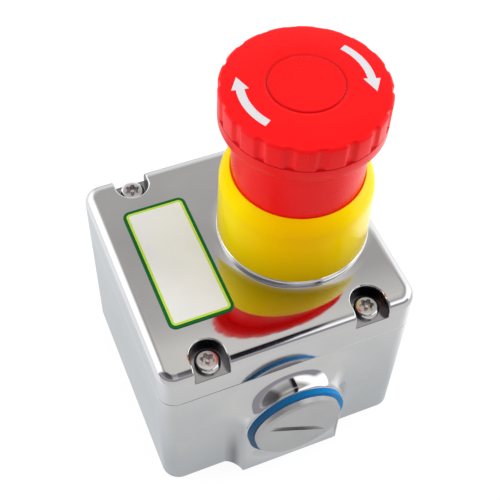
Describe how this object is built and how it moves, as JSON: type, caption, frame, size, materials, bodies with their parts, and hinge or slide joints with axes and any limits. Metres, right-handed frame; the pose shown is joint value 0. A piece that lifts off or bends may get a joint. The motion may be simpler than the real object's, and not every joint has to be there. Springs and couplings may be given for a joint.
{
  "type": "emergency stop switch",
  "caption": "Polished steel box with a screwed lid, a plugged conduit entry and a red twist-release mushroom push button in a yellow collar, which opens and closes contacts inside.",
  "frame": {"origin": "centre of the box's footprint on its flat back face", "axes": "+Z out of the back face and up through the button, -Y out of the conduit entry, +X towards the button's side"},
  "size_m": [0.07, 0.073, 0.1083],
  "materials": {
    "polished_steel": "mirror polished stainless",
    "satin_steel": "satin stainless",
    "screw_steel": "bright turned steel",
    "spring_steel": "drawn wire",
    "contact_brass": "stamped strip",
    "yellow_plastic": "glossy moulded",
    "red_plastic": "satin moulded",
    "green_plastic": "satin moulded",
    "black_plastic": "satin moulded",
    "grey_plastic": "satin moulded",
    "blue_seal": "soft sealing ring",
    "black_rubber": "soft sheet"
  },
  "bodies": {
    "enclosure": {"actuator_body": "black_plastic", "base": "polished_steel", "bezel_ring": "polished_steel", "break_contact_left_cover": "grey_plastic", "break_contact_left_fixed_contacts": "contact_brass", "break_contact_left_housing": "black_plastic", "break_contact_left_spring": "spring_steel", "break_contact_left_terminal_screws": "screw_steel", "break_contact_right_cover": "grey_plastic", "break_contact_right_fixed_contacts": "contact_brass", "break_contact_right_housing": "black_plastic", "break_contact_right_spring": "spring_steel", "break_contact_right_terminal_screws": "screw_steel", "conduit_plug": "satin_steel", "conduit_seal": "blue_seal", "contact_holder": "grey_plastic", "earth_screw": "screw_steel", "earth_washer": "screw_steel", "guard_collar": "yellow_plastic", "latch_band": "screw_steel", "latch_spring_left": "spring_steel", "latch_spring_right": "spring_steel", "lid": "polished_steel", "lid_gasket": "black_rubber", "lid_screws": "screw_steel", "lock_nut": "screw_steel", "make_contact_cover": "grey_plastic", "make_contact_fixed_contacts": "contact_brass", "make_contact_housing": "black_plastic", "make_contact_spring": "spring_steel", "make_contact_terminal_screws": "screw_steel", "panel_seal": "black_rubber", "return_spring": "spring_steel"},
    "pusher": {"contact_pusher": "black_plastic"},
    "button": {"mushroom_head": "red_plastic", "head_cap": "red_plastic", "head_screw": "screw_steel", "neck_sleeve": "red_plastic", "stem": "screw_steel", "stem_clip": "screw_steel"},
    "latch_pawl_right": {"latch_pawl_right": "screw_steel"},
    "latch_pawl_left": {"latch_pawl_left": "screw_steel"},
    "break_contact_left_carrier": {"break_contact_left_plunger": "red_plastic", "break_contact_left_bridge": "contact_brass"},
    "make_contact_carrier": {"make_contact_plunger": "green_plastic", "make_contact_bridge": "contact_brass"},
    "break_contact_right_carrier": {"break_contact_right_plunger": "red_plastic", "break_contact_right_bridge": "contact_brass"}
  },
  "joints": [
    {"name": "button_push", "type": "slide", "parent": "enclosure", "child": "pusher", "axis": [0, 0, -1], "range_m": [0, 0.006], "stiffness_N_per_m": 1500, "springref_m": -0.006, "deforming": ["return_spring"]},
    {"name": "button_twist", "type": "hinge", "parent": "pusher", "child": "button", "pos_m": [0.01325, 0, 0.1], "axis": [0, 0, -1], "range_deg": [0, 35], "stiffness_Nm_per_rad": 0.25, "springref_deg": -11.46},
    {"name": "break_contact_left_slide", "type": "slide", "parent": "enclosure", "child": "break_contact_left_carrier", "axis": [0, 0, -1], "range_m": [0, 0.006], "deforming": ["break_contact_left_spring"]},
    {"name": "make_contact_slide", "type": "slide", "parent": "enclosure", "child": "make_contact_carrier", "axis": [0, 0, -1], "range_m": [0, 0.006], "deforming": ["make_contact_spring"]},
    {"name": "break_contact_right_slide", "type": "slide", "parent": "enclosure", "child": "break_contact_right_carrier", "axis": [0, 0, -1], "range_m": [0, 0.006], "deforming": ["break_contact_right_spring"]},
    {"name": "latch_pawl_right_slide", "type": "slide", "parent": "enclosure", "child": "latch_pawl_right", "axis": [-1, 0, 0], "range_m": [0, 0.0015], "deforming": ["latch_spring_right"]},
    {"name": "latch_pawl_left_slide", "type": "slide", "parent": "enclosure", "child": "latch_pawl_left", "axis": [1, 0, 0], "range_m": [0, 0.0015], "deforming": ["latch_spring_left"]}
  ],
  "couplings": [
    {"joint": "break_contact_left_slide", "follows": "button_push", "ratio": 1},
    {"joint": "make_contact_slide", "follows": "button_push", "ratio": 1},
    {"joint": "break_contact_right_slide", "follows": "button_push", "ratio": 1},
    {"joint": "latch_pawl_right_slide", "follows": "button_push", "ratio": 0.25},
    {"joint": "latch_pawl_left_slide", "follows": "button_push", "ratio": 0.25}
  ]
}
